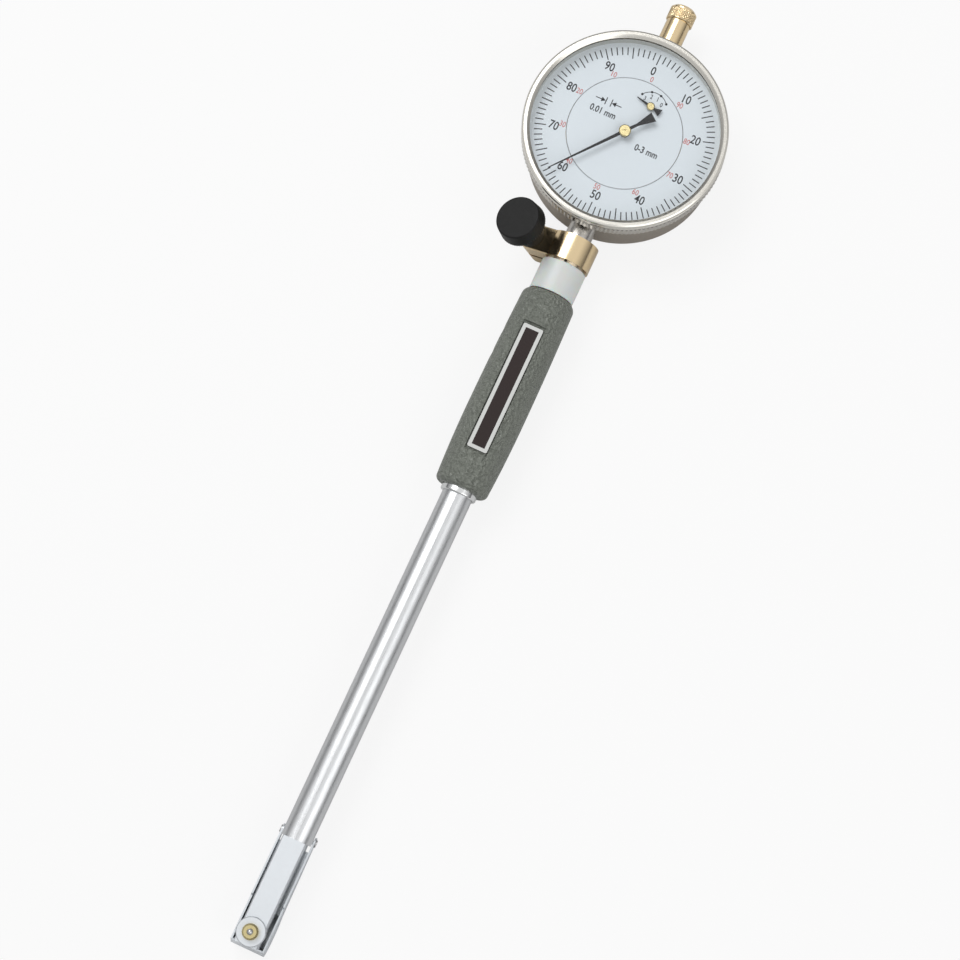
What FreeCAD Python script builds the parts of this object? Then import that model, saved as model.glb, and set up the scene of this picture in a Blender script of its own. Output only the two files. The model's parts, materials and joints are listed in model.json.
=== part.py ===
"""Dial bore gauge for 18-35 mm bores, lying face up on its case back.

Frame: X across the gauge, Y along it towards the indicator, Z up out of the dial.
The origin is at the middle of the overall length and width, on the surface that the
gauge lies on. All sizes are in millimetres.
"""
import FreeCAD
import Part
import math
import os
from FreeCAD import Vector

# --- Fits -----------------------------------------------------------------
running_gap = 0.05          # radial gap of a piece that turns or slides in another
mesh_gap = 0.10             # between the rims of two wheels in mesh

# --- Indicator case -------------------------------------------------------
case_radius = 28.0
case_wall = 2.0
case_back_depth = 11.0      # stem axis to the back face
case_back_thickness = 1.6
case_back_round = 1.2
case_rim_height = 7.2       # stem axis to the front rim of the case
shelf_width = 4.5           # ring inside the case that the movement sits on
shelf_thickness = 1.2
shelf_height = 5.6          # stem axis to the top of the shelf
back_screw_radius = 1.5
back_screw_shank = 0.8
back_screw_length = 4.5
back_screw_boss = 2.2
back_boss_merge = 0.6       # how far a screw boss runs into the wall
back_screws = 4

# --- Bezel, crystal and dial ----------------------------------------------
bezel_radius = 30.0
bezel_skirt = 1.4           # how far the bezel reaches back over the case
bezel_lip = 0.8
bezel_opening = 27.6
bezel_band = 3.9            # width of the knurled band at the rear of the bezel
bezel_groove = 0.35
crystal_radius = 28.5
crystal_thickness = 1.2
scale_ring_lift = 0.5       # running space between case rim and scale ring
scale_thickness = 0.5
centre_dial_radius = 17.0
pointer_space = 2.8         # dial face to the underside of the crystal

# --- Pointers -------------------------------------------------------------
pointer_length = 24.9
pointer_tail = 9.4
pointer_width = 1.0
pointer_thickness = 0.3
pointer_lift = 1.9
pointer_hub_radius = 1.75
pointer_hub_height = 1.0
counter_length = 4.8
counter_tail = 3.4
counter_width = 0.8
counter_thickness = 0.25
counter_lift = 0.7
counter_hub_radius = 1.15
counter_hub_height = 0.8
dial_reading = 219.0        # main pointer, degrees clockwise from the zero mark
counter_reading = -77.0     # counter pointer, degrees clockwise from the top

# --- Movement -------------------------------------------------------------
gear_module = 0.199
rack_pinion_teeth = 16
wheel_teeth = 100
centre_pinion_teeth = 10
counter_bearing = 70.3      # direction of the counter arbor, degrees from X
takeup_bearing = 246.3
wheel_height = 3.8          # stem axis to the underside of the wheels
wheel_thickness = 0.6
wheel_rim = 1.2
wheel_hub = 2.2
wheel_spokes = 5
wheel_spoke_width = 1.1
arbor_radius = 0.5
pivot_radius = 0.35
plate_thickness = 0.8
front_plate_radius = 23.0
rear_plate_radius = 20.0
rear_plate_depth = 5.0      # stem axis to the front of the rear plate
pillar_radius = 1.2
pillar_circle = 18.0
pillar_bearings = (15.0, 125.0, 195.0, 305.0)
cock_reach = 7.5
cock_width = 2.6
cock_thickness = 0.6
cock_post = 1.0
hairspring_radius = 3.8
hairspring_thickness = 0.3

# --- Stem, spindle and dust cap -------------------------------------------
stem_radius = 4.0
stem_length = 24.6          # below the case
stem_flange = 4.3
stem_flange_thickness = 1.0
spindle_radius = 2.5
spindle_above_stem = 9.5    # spindle top above the case
spindle_below_stem = 0.8
rack_length_below = 12.0
rack_length_above = 24.0
contact_radius = 2.0
contact_length = 4.6
contact_ball = 1.5
sleeve_radius = 3.65
sleeve_exposed = 12.5
sleeve_in_cap = 3.2
cap_radius = 4.1
cap_length = 4.7
cap_top_wall = 1.0
cap_chamfer = 0.8

# --- Clamp at the top of the grip -----------------------------------------
stem_gap = 5.4              # bare stem between case and clamp
clamp_height = 7.9
clamp_radius = 7.1
clamp_turn = 22.0           # how far the clamp is turned about the gauge, degrees
clamp_half_depth = 5.8
clamp_slit = 1.0
clamp_corner = 1.2
clamp_screw_offset = 11.2   # gauge axis to clamp screw
clamp_screw_radius = 1.5
clamp_screw_tail = 0.6
knob_radius = 7.0
knob_face_radius = 6.5
knob_rim = 4.7
knob_boss_radius = 3.8
knob_boss_length = 7.8
knob_ribs = 60
knob_rib_depth = 0.25
knob_edge = 0.5

collet_radius = 5.6
collet_rise = 0.5           # collet above the clamp
collet_length = 34.1
collet_slot = 0.8
collet_slot_length = 13.0
collet_socket = 5.0         # how far the tube enters the collet

# --- Grip and tube --------------------------------------------------------
collar_gap = 0.7
collar_radius = 6.8
collar_length = 9.6
grip_length = 62.8
grip_top_radius = 8.0
grip_belly_radius = 8.65
grip_end_radius = 7.9
grip_belly_share = 0.62     # how far down the grip is widest
grip_top_round = 2.5
grip_end_round = 1.7
recess_top = 11.0           # below the top of the grip
recess_length = 41.2
recess_width = 6.9
recess_floor = 7.0          # gauge axis to the floor of the recess
plate_length = 39.6
plate_width = 6.2
plate_sheet = 0.4
plate_corner = 0.5
ferrule_radius = 5.4
ferrule_length = 1.8
tube_radius = 4.5
tube_bore = 3.0
tube_exposed = 107.1

# --- Push rod -------------------------------------------------------------
rod_radius = 1.25
rod_head_radius = 2.0
rod_head_length = 3.0
rod_tip_radius = 0.9
rod_tip_length = 7.6
rod_collar_radius = 2.2
rod_collar_length = 2.0
rod_travel = 1.2
guide_length = 6.0
rod_spring_length = 10.7    # fully pressed
rod_spring_radius = 2.3
rod_spring_wire = 0.7

# --- Measuring head -------------------------------------------------------
head_half_width = 3.5
head_front = 4.7
head_back = 3.6
head_spigot = 12.3
head_edge = 0.3
anvil_below_tube = 27.6
head_below_anvil = 3.8
disc_radius = 4.2
disc_thickness = 1.2
disc_edge = 0.25
anvil_radius = 2.3
anvil_height = 2.4
anvil_chamfer = 0.5
anvil_shank = 1.5
anvil_shank_length = 2.7
ball_radius = 1.0
ball_rise = 0.7
plunger_radius = 1.6
plunger_neck = 0.5          # domed inner end of the plunger, inside the crank slot
plunger_reach = 10.7        # gauge axis to the tip
plunger_tip_radius = 1.0
plunger_tip_length = 1.4
bush_radius = 2.4
bush_flange_radius = 2.9
bush_flange = 1.4
boss_radius = 3.3
boss_height = 3.4
crank_arm = 2.5
crank_pivot_depth = 2.0     # gauge axis to crank pivot
crank_nose = 0.7
crank_hub = 1.1
crank_thickness = 1.5
crank_side_gap = 0.15
crank_pin_radius = 0.5
crank_play = 0.08

# --- Centring bridge ------------------------------------------------------
bridge_sheet = 0.5
bridge_half_width = 5.1
bridge_ear = 1.6
bridge_pin_rise = 1.3       # pin above the end of the tube
bridge_pin_depth = 2.3
bridge_pin_radius = 0.6
bridge_pin_head = 1.1
bridge_pin_head_length = 0.35
bridge_front_top = 0.7      # gauge axis to the front edge of the cheeks
bridge_front_low = 1.6
bridge_step_below_pin = 20.0
bridge_web_start = 3.0      # web begins this far below the pin
bridge_web_depth = 4.9
bridge_knee_above_anvil = 6.9
bridge_knee_depth = 8.0
bridge_below_head = 1.5
bridge_tip_depth = 7.2
bridge_hole_radius = 2.3
leaf_width = 3.0
leaf_sheet = 0.25
leaf_start_below_pin = 5.0
leaf_flat = 5.0
leaf_length = 13.0
leaf_bow = 1.6

# --- Where things lie along the gauge and above the surface ---------------
axis_z = case_back_depth
length_above = case_radius + sleeve_exposed + cap_length
clamp_top_below = case_radius + stem_gap
clamp_bottom_below = clamp_top_below + clamp_height
grip_top_below = clamp_bottom_below + collar_gap + collar_length
grip_end_below = grip_top_below + grip_length
tube_end_below = grip_end_below + ferrule_length + tube_exposed
anvil_below = tube_end_below + anvil_below_tube
length_below = anvil_below + head_below_anvil + bridge_below_head

dial_y = (length_below - length_above) / 2
case_low_y = dial_y - case_radius
clamp_top_y = dial_y - clamp_top_below
clamp_bottom_y = dial_y - clamp_bottom_below
collar_top_y = clamp_bottom_y - collar_gap
grip_top_y = dial_y - grip_top_below
grip_end_y = dial_y - grip_end_below
ferrule_end_y = grip_end_y - ferrule_length
tube_end_y = dial_y - tube_end_below
anvil_y = dial_y - anvil_below
head_end_y = anvil_y - head_below_anvil
bridge_tip_y = head_end_y - bridge_below_head
stem_end_y = case_low_y - stem_length
spindle_end_y = stem_end_y - spindle_below_stem
contact_tip_y = spindle_end_y - contact_length
collet_top_y = clamp_top_y + collet_rise
collet_end_y = collet_top_y - collet_length
tube_top_y = collet_end_y + collet_socket
rod_top_y = contact_tip_y - running_gap
clamp_mid_y = (clamp_top_y + clamp_bottom_y) / 2
bridge_pin_y = tube_end_y + bridge_pin_rise
crank_y = anvil_y + crank_arm
crank_z = axis_z - crank_pivot_depth

rim_z = axis_z + case_rim_height
scale_z = rim_z + scale_ring_lift
dial_z = scale_z + scale_thickness
crystal_z = dial_z + pointer_space
bezel_lip_z = crystal_z + crystal_thickness
bezel_front_z = bezel_lip_z + bezel_lip
bezel_rear_z = rim_z - bezel_skirt
shelf_z = axis_z + shelf_height
front_plate_z = shelf_z
rear_plate_z = axis_z - rear_plate_depth
case_inner = case_radius - case_wall
plunger_y = anvil_y

wheel_radius = gear_module * wheel_teeth / 2 - mesh_gap / 2
rack_pinion_radius = gear_module * rack_pinion_teeth / 2 - mesh_gap / 2
centre_pinion_radius = gear_module * centre_pinion_teeth / 2 - mesh_gap / 2
wheel_centres = gear_module * (wheel_teeth + centre_pinion_teeth) / 2

along = Vector(0, 1, 0)
up = Vector(0, 0, 1)
across = Vector(1, 0, 0)


# --- Small makers ---------------------------------------------------------
def rod_along(radius, start_y, end_y, x=0.0, z=axis_z):
    """A round bar along the gauge."""
    return Part.makeCylinder(radius, end_y - start_y, Vector(x, start_y, z), along)


def tube_along(radius, bore, start_y, end_y):
    """A round tube along the gauge axis."""
    return rod_along(radius, start_y, end_y).cut(rod_along(bore, start_y, end_y))


def post(radius, start_z, end_z, x=0.0, y=dial_y):
    """A round post square to the dial."""
    return Part.makeCylinder(radius, end_z - start_z, Vector(x, y, start_z), up)


def pin_across(radius, half_length, y, z):
    """A round pin from side to side."""
    return Part.makeCylinder(radius, 2 * half_length, Vector(-half_length, y, z), across)


def block(x0, x1, y0, y1, z0, z1):
    """A rectangular block between two corners."""
    return Part.makeBox(x1 - x0, y1 - y0, z1 - z0, Vector(x0, y0, z0))


def turned_about_dial(profile):
    """Turn (radius, height) points about the dial's own axis."""
    points = [Vector(radius, 0, z) for radius, z in profile]
    face = Part.Face(Part.makePolygon(points + points[:1]))
    solid = face.revolve(Vector(0, 0, 0), up, 360)
    solid.translate(Vector(0, dial_y, 0))
    return solid


def turned_along(profile):
    """Turn (radius, place along the gauge) points about the gauge axis."""
    points = [Vector(radius, y, axis_z) for radius, y in profile]
    face = Part.Face(Part.makePolygon(points + points[:1]))
    return face.revolve(Vector(0, 0, axis_z), along, 360)


def polar(radius, bearing):
    """A place on the dial, with the bearing in degrees from X."""
    angle = math.radians(bearing)
    return radius * math.cos(angle), dial_y + radius * math.sin(angle)


def joined(shapes):
    """Fuse shapes into one clean solid."""
    whole = shapes[0].multiFuse(shapes[1:])
    return whole.removeSplitter()


def end_edges(shape, y):
    """Circular edges that lie wholly at one place along the gauge."""
    return [e for e in shape.Edges
            if abs(e.BoundBox.YMin - y) < 0.01 and abs(e.BoundBox.YMax - y) < 0.01]


def largest(edges):
    """The edge with the widest box."""
    return max(edges, key=lambda e: e.BoundBox.XLength)


# --- Indicator case -------------------------------------------------------
screw_circle = case_inner - back_screw_boss + back_boss_merge
back_screw_places = [polar(screw_circle, 45 + 360 / back_screws * i)
                     for i in range(back_screws)]
back_top_z = case_back_thickness


def make_case():
    """Case wall with its movement shelf, screw bosses and two cross holes."""
    shelf_inner = case_inner - shelf_width
    shell = turned_about_dial([
        (case_inner, back_top_z), (case_radius, back_top_z), (case_radius, rim_z),
        (case_inner, rim_z), (case_inner, shelf_z), (shelf_inner, shelf_z),
        (shelf_inner, shelf_z - shelf_thickness), (case_inner, shelf_z - shelf_thickness)])
    top = back_top_z + back_screw_length + 1.0
    bosses = [post(back_screw_boss, back_top_z, top, x, y) for x, y in back_screw_places]
    inside = post(case_inner + case_wall / 2, back_top_z, top)
    case = joined([shell] + [boss.common(inside) for boss in bosses])
    stem_hole = rod_along(stem_radius, case_low_y - 1, dial_y - case_inner + 3)
    sleeve_hole = rod_along(sleeve_radius, dial_y + case_inner - 3, dial_y + case_radius + 1)
    taps = [post(back_screw_shank, back_top_z - 1, back_top_z + back_screw_length, x, y)
            for x, y in back_screw_places]
    return case.cut([stem_hole, sleeve_hole] + taps)


def screw_head_cone(x, y, grow=0.0):
    """The countersunk head of a back screw."""
    depth = back_screw_radius - back_screw_shank
    low = Vector(x, y, 0.1 - grow)
    return Part.makeCone(back_screw_radius, back_screw_shank, depth, low, up)


def make_case_back():
    """Flat back cover with a rounded edge and four countersinks."""
    cover = post(case_radius, 0, back_top_z)
    edge = [e for e in cover.Edges if e.BoundBox.ZMax < 0.01 and e.Length > case_radius]
    cover = cover.makeFillet(case_back_round, edge)
    holes = []
    for x, y in back_screw_places:
        holes.append(post(back_screw_shank, -1, back_top_z + 1, x, y))
        holes.append(screw_head_cone(x, y))
        holes.append(post(back_screw_radius, -1, 0.1, x, y))
    return cover.cut(holes)


def make_back_screws():
    """Four countersunk screws, sunk just below the back face."""
    screws = []
    for x, y in back_screw_places:
        shank = post(back_screw_shank, 0.5, back_top_z + back_screw_length - 0.5, x, y)
        slot = block(x - 2, x + 2, y - 0.2, y + 0.2, 0, 0.4)
        screws.append(joined([screw_head_cone(x, y), shank]).cut(slot))
    return Part.makeCompound(screws)


def flanged_tube(radius, bore, flange_y, inward, end_y):
    """A tube through the case wall with a flange against the inside of it."""
    flange_end = flange_y + inward * stem_flange_thickness
    low, high = sorted((flange_y, flange_end))
    flange = rod_along(stem_flange, low, high)
    low, high = sorted((flange_end, end_y))
    body = rod_along(radius, low, high)
    return joined([flange, body]).cut(rod_along(bore, low - 1, high + 1))


flange_seat = math.sqrt(case_inner ** 2 - stem_flange ** 2)
sleeve_top_y = dial_y + case_radius + sleeve_exposed + sleeve_in_cap
spindle_bore = spindle_radius + running_gap


def make_stem():
    """Mounting stem that the clamp holds; the spindle runs in its bore."""
    return flanged_tube(stem_radius, spindle_bore, dial_y - flange_seat, 1, stem_end_y)


def make_top_sleeve():
    """Sleeve above the case that guards the top of the spindle."""
    return flanged_tube(sleeve_radius, spindle_bore, dial_y + flange_seat, -1, sleeve_top_y)


def make_dust_cap():
    """Turned cap over the end of the sleeve, chamfered at its top."""
    low = dial_y + case_radius + sleeve_exposed
    high = low + cap_length
    cap = rod_along(cap_radius, low, high)
    cap = cap.makeChamfer(cap_chamfer, end_edges(cap, high))
    return cap.cut(rod_along(sleeve_radius + running_gap, low - 1, high - cap_top_wall))


# --- Bezel, crystal and dial ----------------------------------------------
def make_bezel():
    """Turned ring that rides on the case and carries crystal and scale."""
    skirt_bore = case_radius + running_gap
    wall_bore = bezel_opening + 0.1
    band_top = bezel_rear_z + bezel_band
    shoulder = bezel_front_z - 0.6
    return turned_about_dial([
        (skirt_bore, bezel_rear_z), (bezel_radius - 0.3, bezel_rear_z),
        (bezel_radius, bezel_rear_z + 0.3), (bezel_radius, band_top),
        (bezel_radius - bezel_groove, band_top),
        (bezel_radius - bezel_groove, band_top + bezel_groove),
        (bezel_radius - 0.05, band_top + bezel_groove), (bezel_radius - 0.05, shoulder),
        (bezel_radius - 0.65, bezel_front_z), (bezel_radius - 1.5, bezel_front_z),
        (bezel_opening, bezel_lip_z + 0.15), (bezel_opening, bezel_lip_z),
        (crystal_radius, bezel_lip_z), (crystal_radius, crystal_z),
        (wall_bore, crystal_z), (wall_bore, dial_z), (skirt_bore, dial_z)])


def make_crystal():
    """Flat clear disc snapped into the bezel's groove."""
    return post(crystal_radius, crystal_z, bezel_lip_z)


def make_scale_ring():
    """Outer scale, fixed under the bezel's shoulder and turned with it."""
    ring = post(case_radius, scale_z, dial_z)
    return ring.cut(post(centre_dial_radius + 2 * running_gap, scale_z - 1, dial_z + 1))


counter_x, counter_y = polar(wheel_centres, counter_bearing)
takeup_x, takeup_y = polar(wheel_centres, takeup_bearing)
front_plate_top = front_plate_z + plate_thickness


def make_centre_dial():
    """Fixed middle of the dial on three feet that stand on the front plate."""
    disc = post(centre_dial_radius, scale_z, dial_z)
    feet = [post(0.8, front_plate_top, scale_z, *polar(14.0, 150 + 120 * i)) for i in range(3)]
    holes = [post(pointer_hub_radius - 0.4, scale_z - 1, dial_z + 1),
             post(counter_hub_radius - 0.3, scale_z - 1, dial_z + 1, counter_x, counter_y)]
    return joined([disc] + feet).cut(holes)


def pointer_blade(length, tail, width, thickness, low_z, x, y, clockwise):
    """A tapered hand with a broad tail, turned clockwise from the top."""
    tip = 0.12
    outline = [(-width / 2, 0), (-tip, length), (tip, length), (width / 2, 0),
               (width * 0.4, -tail * 0.45), (width * 1.5, -tail), (-width * 1.5, -tail),
               (-width * 0.4, -tail * 0.45)]
    points = [Vector(px, py, low_z) for px, py in outline]
    blade = Part.Face(Part.makePolygon(points + points[:1])).extrude(up * thickness)
    blade.rotate(Vector(0, 0, 0), up, -clockwise)
    blade.translate(Vector(x, y, 0))
    return blade


main_pointer_z = dial_z + pointer_lift
counter_pointer_z = dial_z + counter_lift


def make_main_pointer():
    """Long hand with its hub."""
    blade = pointer_blade(pointer_length, pointer_tail, pointer_width, pointer_thickness,
                          main_pointer_z, 0, dial_y, dial_reading)
    hub_low = main_pointer_z - 0.3
    hub = post(pointer_hub_radius, hub_low, hub_low + pointer_hub_height)
    return joined([blade, hub]).cut(post(arbor_radius, hub_low - 1, hub_low + 0.8))


def make_counter_pointer():
    """Short hand of the turn counter with its hub."""
    blade = pointer_blade(counter_length, counter_tail, counter_width, counter_thickness,
                          counter_pointer_z, counter_x, counter_y, counter_reading)
    hub_low = counter_pointer_z - 0.3
    hub = post(counter_hub_radius, hub_low, hub_low + counter_hub_height,
               counter_x, counter_y)
    bore = post(arbor_radius, hub_low - 1, hub_low + 0.6, counter_x, counter_y)
    return joined([blade, hub]).cut(bore)


# --- Movement -------------------------------------------------------------
wheel_z = axis_z + wheel_height
pivot_bore = pivot_radius + running_gap
arbor_bore = arbor_radius + running_gap
end_shake = 0.05


def spoked_wheel(x, y):
    """A thin wheel with a rim, a hub and spokes."""
    top = wheel_z + wheel_thickness
    rim = post(wheel_radius, wheel_z, top, x, y)
    rim = rim.cut(post(wheel_radius - wheel_rim, wheel_z - 1, top + 1, x, y))
    parts = [rim, post(wheel_hub, wheel_z, top, x, y)]
    half = wheel_spoke_width / 2
    for i in range(wheel_spokes):
        spoke = block(0, wheel_radius - wheel_rim / 2, -half, half, wheel_z, top)
        spoke.rotate(Vector(0, 0, 0), up, 360 / wheel_spokes * i)
        spoke.translate(Vector(x, y, 0))
        parts.append(spoke)
    return joined(parts)


def make_counter_wheel():
    """Arbor with the rack pinion, the large wheel and a pivot at its foot."""
    parts = [spoked_wheel(counter_x, counter_y)]
    parts.append(post(rack_pinion_radius, axis_z - 1.5, axis_z + 1.5, counter_x, counter_y))
    top = counter_pointer_z - 0.3 + 0.6
    parts.append(post(arbor_radius, rear_plate_z + end_shake, top, counter_x, counter_y))
    foot = rear_plate_z - plate_thickness
    parts.append(post(pivot_radius, foot, rear_plate_z + 0.5, counter_x, counter_y))
    return joined(parts)


def make_takeup_wheel():
    """Wheel that the hairspring loads, so that the train has no lost motion."""
    parts = [spoked_wheel(takeup_x, takeup_y)]
    low = rear_plate_z - plate_thickness
    high = front_plate_top
    parts.append(post(pivot_radius, low, high, takeup_x, takeup_y))
    parts.append(post(arbor_radius, rear_plate_z + end_shake, front_plate_z - end_shake,
                      takeup_x, takeup_y))
    return joined(parts)


def make_hairspring():
    """Flat coil on the take-up arbor, closed up as one thin ring."""
    low = rear_plate_z + 0.5
    coil = post(hairspring_radius, low, low + hairspring_thickness, takeup_x, takeup_y)
    return coil.cut(post(arbor_radius, low - 1, low + 1, takeup_x, takeup_y))


cock_top = wheel_z - 0.25
cock_low = cock_top - cock_thickness
cock_bearing = (counter_bearing + takeup_bearing) / 2 - 180


def make_centre_pinion():
    """Centre arbor that carries the main pointer."""
    top = main_pointer_z - 0.3 + 0.8
    parts = [post(centre_pinion_radius, cock_top + end_shake, front_plate_z - end_shake)]
    parts.append(post(arbor_radius, cock_top + end_shake, top))
    parts.append(post(pivot_radius, cock_low, cock_top + 0.5))
    return joined(parts)


def make_centre_cock():
    """Small bridge under the front plate that holds the foot of the centre arbor."""
    bar = block(-cock_reach, cock_reach, -cock_width / 2, cock_width / 2, cock_low, cock_top)
    bar.rotate(Vector(0, 0, 0), up, cock_bearing)
    bar.translate(Vector(0, dial_y, 0))
    feet = [post(cock_post, cock_low, front_plate_z, *polar(cock_reach, cock_bearing + turn))
            for turn in (0, 180)]
    return joined([bar] + feet).cut(post(pivot_bore, cock_low - 1, cock_top + 1))


def make_front_plate():
    """Movement plate on the shelf, bored for the three arbors."""
    plate = post(front_plate_radius, front_plate_z, front_plate_top)
    low = front_plate_z - 1
    high = front_plate_top + 1
    return plate.cut([post(arbor_bore, low, high),
                      post(arbor_bore, low, high, counter_x, counter_y),
                      post(pivot_bore, low, high, takeup_x, takeup_y)])


def make_rear_plate():
    """Movement plate behind the spindle, bored for two arbors."""
    low = rear_plate_z - plate_thickness
    plate = post(rear_plate_radius, low, rear_plate_z)
    return plate.cut([post(pivot_bore, low - 1, rear_plate_z + 1, counter_x, counter_y),
                      post(pivot_bore, low - 1, rear_plate_z + 1, takeup_x, takeup_y)])


def make_pillars():
    """Pillars that hold the two movement plates apart."""
    return Part.makeCompound([post(pillar_radius, rear_plate_z, front_plate_z,
                                   *polar(pillar_circle, bearing))
                              for bearing in pillar_bearings])


def make_spindle():
    """Sliding spindle with a flat rack face beside the rack pinion."""
    top = dial_y + case_radius + spindle_above_stem
    bar = rod_along(spindle_radius, spindle_end_y, top)
    rack_face = counter_x - rack_pinion_radius - mesh_gap
    flat = block(rack_face, spindle_radius + 1, dial_y - rack_length_below,
                 dial_y + rack_length_above, axis_z - 4, axis_z + 4)
    return bar.cut(flat)


def make_contact_point():
    """Hardened contact point screwed to the foot of the spindle."""
    shoulder = contact_tip_y + contact_ball
    body = rod_along(contact_radius, shoulder, spindle_end_y)
    ball = Part.makeSphere(contact_ball, Vector(0, shoulder, axis_z))
    return joined([body, ball])


# --- Clamp ----------------------------------------------------------------
clamp_axis = Vector(-math.sin(math.radians(clamp_turn)), 0, math.cos(math.radians(clamp_turn)))
clamp_centre = Vector(0, clamp_mid_y, axis_z)


def turned_clamp(shape):
    """Turn a shape drawn with the clamp square to the dial to the clamp's own angle."""
    shape.rotate(Vector(0, clamp_mid_y, axis_z), along, -clamp_turn)
    return shape


def make_stem_clamp():
    """Split clamp ring with two ears, rounded about the clamp screw."""
    ring = rod_along(clamp_radius, clamp_bottom_y, clamp_top_y)
    low = axis_z - clamp_half_depth
    high = axis_z + clamp_half_depth
    arm = block(-clamp_screw_offset, 0, clamp_bottom_y, clamp_top_y, low, high)
    nose = post(clamp_height / 2, low, high, -clamp_screw_offset, clamp_mid_y)
    ears = joined([arm, nose])
    back_edges = [e for e in ears.Edges
                  if e.BoundBox.ZMax < low + 0.01 and e.BoundBox.XMax < -0.01]
    front_edges = [e for e in ears.Edges
                   if e.BoundBox.ZMin > high - 0.01 and e.BoundBox.XMax < -0.01]
    nose_back = [e for e in back_edges if e.BoundBox.XMin < -clamp_screw_offset - 1]
    nose_front = [e for e in front_edges if e.BoundBox.XMin < -clamp_screw_offset - 1]
    ears = ears.makeFillet(clamp_corner, nose_back)
    ears = ears.makeFillet(0.3, [e for e in ears.Edges
                                 if e.BoundBox.ZMin > high - 0.01 and nose_front
                                 and e.BoundBox.XMin < -clamp_screw_offset - 1])
    clamp = joined([ring, ears])
    half = clamp_slit / 2
    slit = block(-clamp_screw_offset - clamp_height, 0, clamp_bottom_y - 1, clamp_top_y + 1,
                 axis_z - half, axis_z + half)
    bore = rod_along(collet_radius, clamp_bottom_y - 1, clamp_top_y + 1)
    hole = post(clamp_screw_radius + running_gap, low - 1, high + 1,
                -clamp_screw_offset, clamp_mid_y)
    return turned_clamp(clamp.cut([slit, bore, hole]))


knob_low_z = axis_z + clamp_half_depth + running_gap
knob_rim_z = knob_low_z + knob_boss_length


def make_clamp_knob():
    """Black knob: a smooth boss and a ribbed, slightly tapered rim."""
    rim = Part.makeCone(knob_radius, knob_face_radius, knob_rim, Vector(0, 0, 0), up)
    rim = rim.makeFillet(knob_edge, [e for e in rim.Edges if e.BoundBox.ZMin > knob_rim - 0.01])
    points = []
    for i in range(2 * knob_ribs):
        angle = math.pi * i / knob_ribs
        radius = knob_radius + 0.1 - (knob_rib_depth if i % 2 else 0)
        points.append(Vector(radius * math.cos(angle), radius * math.sin(angle), 0))
    flutes = Part.Face(Part.makePolygon(points + points[:1])).extrude(up * knob_rim)
    rim = rim.common(flutes)
    rim.translate(Vector(-clamp_screw_offset, clamp_mid_y, knob_rim_z))
    boss = post(knob_boss_radius, knob_low_z, knob_rim_z, -clamp_screw_offset, clamp_mid_y)
    seat = post(clamp_screw_radius, knob_low_z - 1, knob_rim_z, -clamp_screw_offset, clamp_mid_y)
    return turned_clamp(joined([rim, boss]).cut(seat))


def make_clamp_screw():
    """Screw through both ears, fixed in the knob."""
    low = axis_z - clamp_half_depth - clamp_screw_tail + clamp_corner
    screw = post(clamp_screw_radius, low, knob_rim_z, -clamp_screw_offset, clamp_mid_y)
    return turned_clamp(screw)


def make_collet():
    """Split holder of the stem, with a socket for the tube at its foot."""
    collet = rod_along(collet_radius, collet_end_y, collet_top_y)
    stem_bore = rod_along(stem_radius + running_gap, tube_top_y, collet_top_y + 1)
    socket = rod_along(tube_radius, collet_end_y - 1, tube_top_y)
    half = collet_slot / 2
    reach = collet_radius + 1
    low = collet_top_y - collet_slot_length
    slots = [block(-reach, reach, low, collet_top_y + 1, axis_z - half, axis_z + half),
             block(-half, half, low, collet_top_y + 1, axis_z - reach, axis_z + reach)]
    return collet.cut([stem_bore, socket] + slots)


# --- Grip and tube --------------------------------------------------------
def belly_arc(end, belly):
    """A shallow arc from an end of the grip to its widest place."""
    middle_y = (end.y + belly.y) / 2
    middle = Vector(belly.x - (belly.x - end.x) / 4, middle_y, axis_z)
    return Part.Arc(end, middle, belly).toShape()


def make_grip():
    """Swelling hand grip with a flat recess for its name strip."""
    belly_y = grip_top_y - grip_belly_share * grip_length
    top = Vector(grip_top_radius, grip_top_y, axis_z)
    belly = Vector(grip_belly_radius, belly_y, axis_z)
    end = Vector(grip_end_radius, grip_end_y, axis_z)
    centre_top = Vector(0, grip_top_y, axis_z)
    centre_end = Vector(0, grip_end_y, axis_z)
    outline = Part.Wire([Part.makeLine(centre_end, end), belly_arc(end, belly),
                         belly_arc(top, belly), Part.makeLine(top, centre_top),
                         Part.makeLine(centre_top, centre_end)])
    grip = Part.Face(outline).revolve(Vector(0, 0, axis_z), along, 360)
    grip = grip.makeFillet(grip_top_round, [largest(end_edges(grip, grip_top_y))])
    grip = grip.makeFillet(grip_end_round, [largest(end_edges(grip, grip_end_y))])
    recess_high = grip_top_y - recess_top
    recess = block(-recess_width / 2, recess_width / 2, recess_high - recess_length,
                   recess_high, axis_z + recess_floor, axis_z + 2 * grip_belly_radius)
    bores = [rod_along(tube_radius, grip_end_y - 1, collet_end_y),
             rod_along(collet_radius, collet_end_y, grip_top_y + 1)]
    return grip.cut([recess] + bores)


def make_grip_plate():
    """Thin strip with rounded corners on the floor of the recess."""
    middle = grip_top_y - recess_top - recess_length / 2
    low = axis_z + recess_floor
    strip = block(-plate_width / 2, plate_width / 2, middle - plate_length / 2,
                  middle + plate_length / 2, low, low + plate_sheet)
    corners = [e for e in strip.Edges if e.BoundBox.ZLength > plate_sheet / 2
               and e.BoundBox.YLength < 0.01 and e.BoundBox.XLength < 0.01]
    return strip.makeFillet(plate_corner, corners)


def make_upper_collar():
    """White plastic collar between clamp and grip."""
    collar = tube_along(collar_radius, collet_radius, grip_top_y, collar_top_y)
    return collar.makeFillet(0.3, [largest(end_edges(collar, collar_top_y))])


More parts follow.
